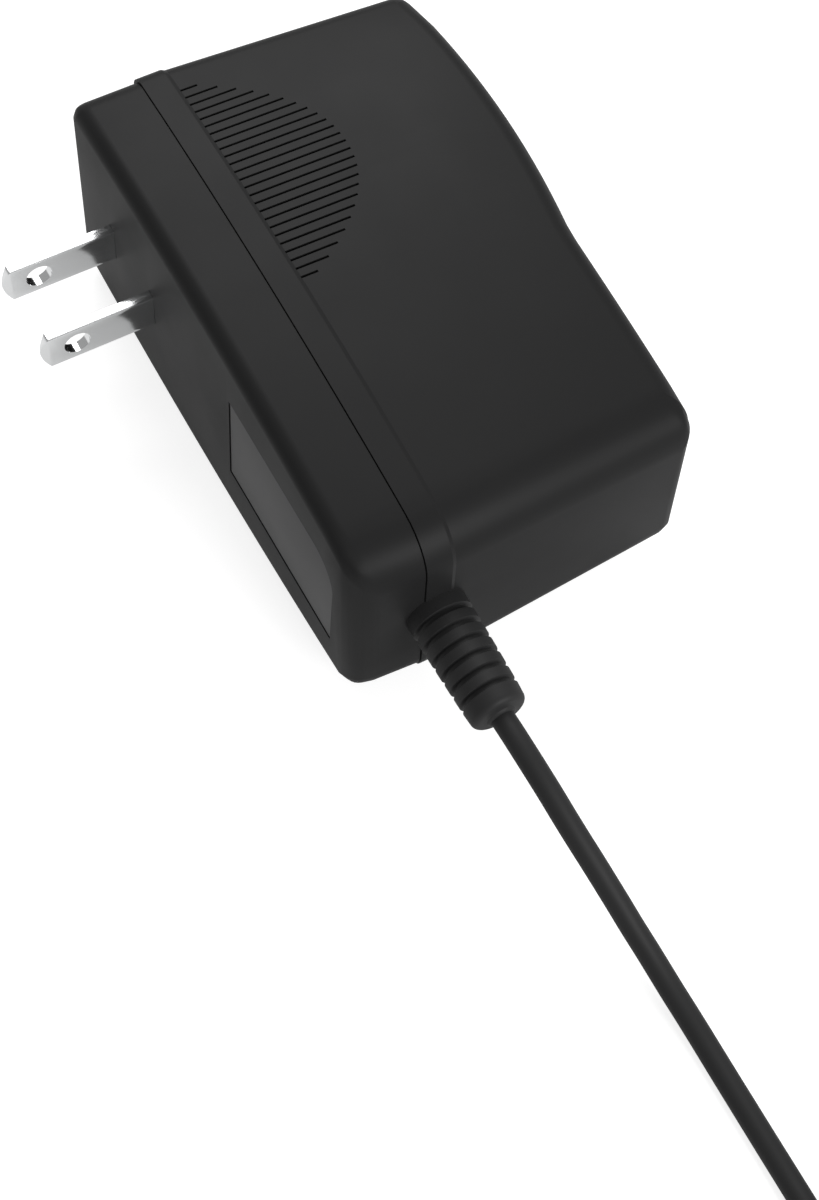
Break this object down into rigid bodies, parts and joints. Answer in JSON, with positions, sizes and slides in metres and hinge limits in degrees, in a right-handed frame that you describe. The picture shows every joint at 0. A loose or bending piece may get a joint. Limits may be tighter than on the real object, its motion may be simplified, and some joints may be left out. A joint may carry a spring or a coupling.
{
  "type": "power adapter",
  "caption": "Wall power adapter: a crowned black housing with two flat mains blades, a grooved grip and a thin lead that ends in a barrel plug.",
  "frame": {"origin": "under the middle of the housing with its blades, on the surface that the adapter lies on", "axes": "+X out of the wall, so that the blades point to -X; the lead leaves towards -Y; +Z through the two broad faces, upwards"},
  "size_m": [0.094, 0.2243, 0.0386],
  "materials": {
    "housing_plastic": "fine spark-eroded mould texture, satin",
    "plate_plastic": "smooth satin label stock, blank",
    "soft_plastic": "soft moulded vinyl, satin",
    "nickel": "nickel plate over brass, lightly brushed",
    "spring_brass": "bare spring brass",
    "board_laminate": "brown paper laminate",
    "card": "pressed insulating card",
    "component_black": "moulded component case",
    "thermistor_coat": "dipped coating",
    "capacitor_yellow": "moulded capacitor box",
    "ferrite": "sintered ferrite, matt",
    "copper_winding": "enamelled copper wire",
    "capacitor_sleeve": "shrunk sleeve",
    "aluminium_sink": "rolled sheet, sheared edges",
    "winding_tape": "polyester winding tape",
    "capacitor_blue": "dipped coating",
    "wire_red": "thin vinyl insulation",
    "wire_black": "thin vinyl insulation"
  },
  "bodies": {
    "root": {"front_cover": "housing_plastic", "rear_housing": "housing_plastic", "blank_plate": "plate_plastic", "line_blade": "nickel", "neutral_blade": "nickel", "line_contact": "spring_brass", "neutral_contact": "spring_brass", "circuit_board": "board_laminate", "insulating_sheet": "card", "fuse": "component_black", "thermistor": "thermistor_coat", "x_capacitor": "capacitor_yellow", "choke_core": "ferrite", "choke_windings": "copper_winding", "bridge_rectifier": "component_black", "bulk_capacitor": "capacitor_sleeve", "switching_transistor": "component_black", "primary_heat_sink": "aluminium_sink", "transformer_core": "ferrite", "transformer_bobbin": "component_black", "transformer_winding": "winding_tape", "y_capacitor": "capacitor_blue", "optocoupler": "component_black", "controller_chip": "component_black", "output_diode": "component_black", "output_heat_sink": "aluminium_sink", "output_capacitors": "capacitor_sleeve", "output_inductor": "component_black", "positive_wire": "wire_red", "negative_wire": "wire_black", "strain_relief": "soft_plastic", "cord_lead": "soft_plastic", "cord_coil": "soft_plastic", "cord_tail": "soft_plastic", "cord_tie": "component_black", "plug_body": "soft_plastic", "plug_sleeve": "nickel", "plug_insulator": "component_black", "plug_contact": "spring_brass"}
  },
  "joints": []
}
